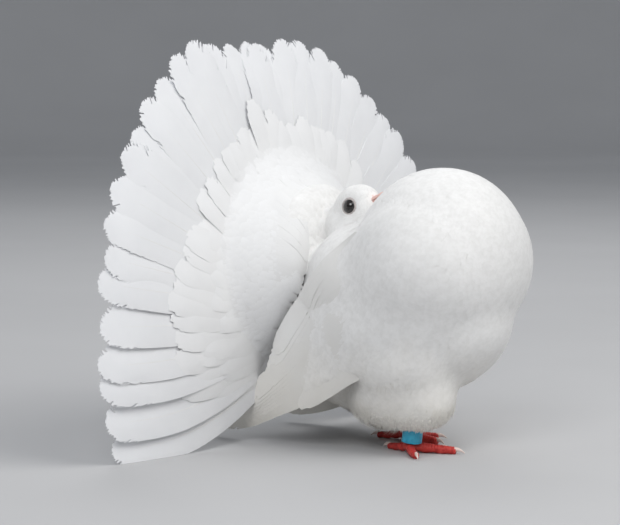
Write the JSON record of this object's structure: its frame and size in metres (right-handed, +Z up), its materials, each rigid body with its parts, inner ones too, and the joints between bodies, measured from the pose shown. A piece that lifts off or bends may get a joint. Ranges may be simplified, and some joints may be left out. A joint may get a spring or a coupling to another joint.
{
  "type": "fantail pigeon model",
  "caption": "Still life-size model of a white fantail pigeon in display, tail fan raised and spread, head drawn back, red feet and a plain blue leg ring.",
  "frame": {"origin": "centre of the bounding box on the floor that the bird stands on", "axes": "+X the way the bird faces, +Y its left side, +Z up"},
  "size_m": [0.1902, 0.3292, 0.2372],
  "materials": {
    "plumage": "soft white contour feathers, silky and matt",
    "tail_feathers": "white vanes with a faint cool shade",
    "wing_feathers": "white vanes, a little cream at the tips",
    "eye": "wet and very dark",
    "bill": "satin flesh-pink horn",
    "cere": "matt, powdery",
    "foot": "red skin with cross scales",
    "claw": "pale horn",
    "ring": "plain blue, slightly worn"
  },
  "bodies": {
    "root": {"trunk": "plumage", "neck": "plumage", "head": "plumage", "eye_r": "eye", "eye_l": "eye", "bill_upper": "bill", "bill_lower": "bill", "cere": "cere", "wing_r": "wing_feathers", "wing_l": "wing_feathers", "tail_fan_top": "tail_feathers", "tail_fan_right": "tail_feathers", "tail_fan_left": "tail_feathers", "tail_coverts_upper": "plumage", "tail_coverts_under": "plumage", "thigh_r": "plumage", "thigh_l": "plumage", "leg_r": "foot", "leg_l": "foot", "leg_ring": "ring", "claw_r_middle": "claw", "claw_r_outer": "claw", "claw_r_inner": "claw", "claw_r_hind": "claw", "claw_l_middle": "claw", "claw_l_outer": "claw", "claw_l_inner": "claw", "claw_l_hind": "claw"}
  },
  "joints": []
}
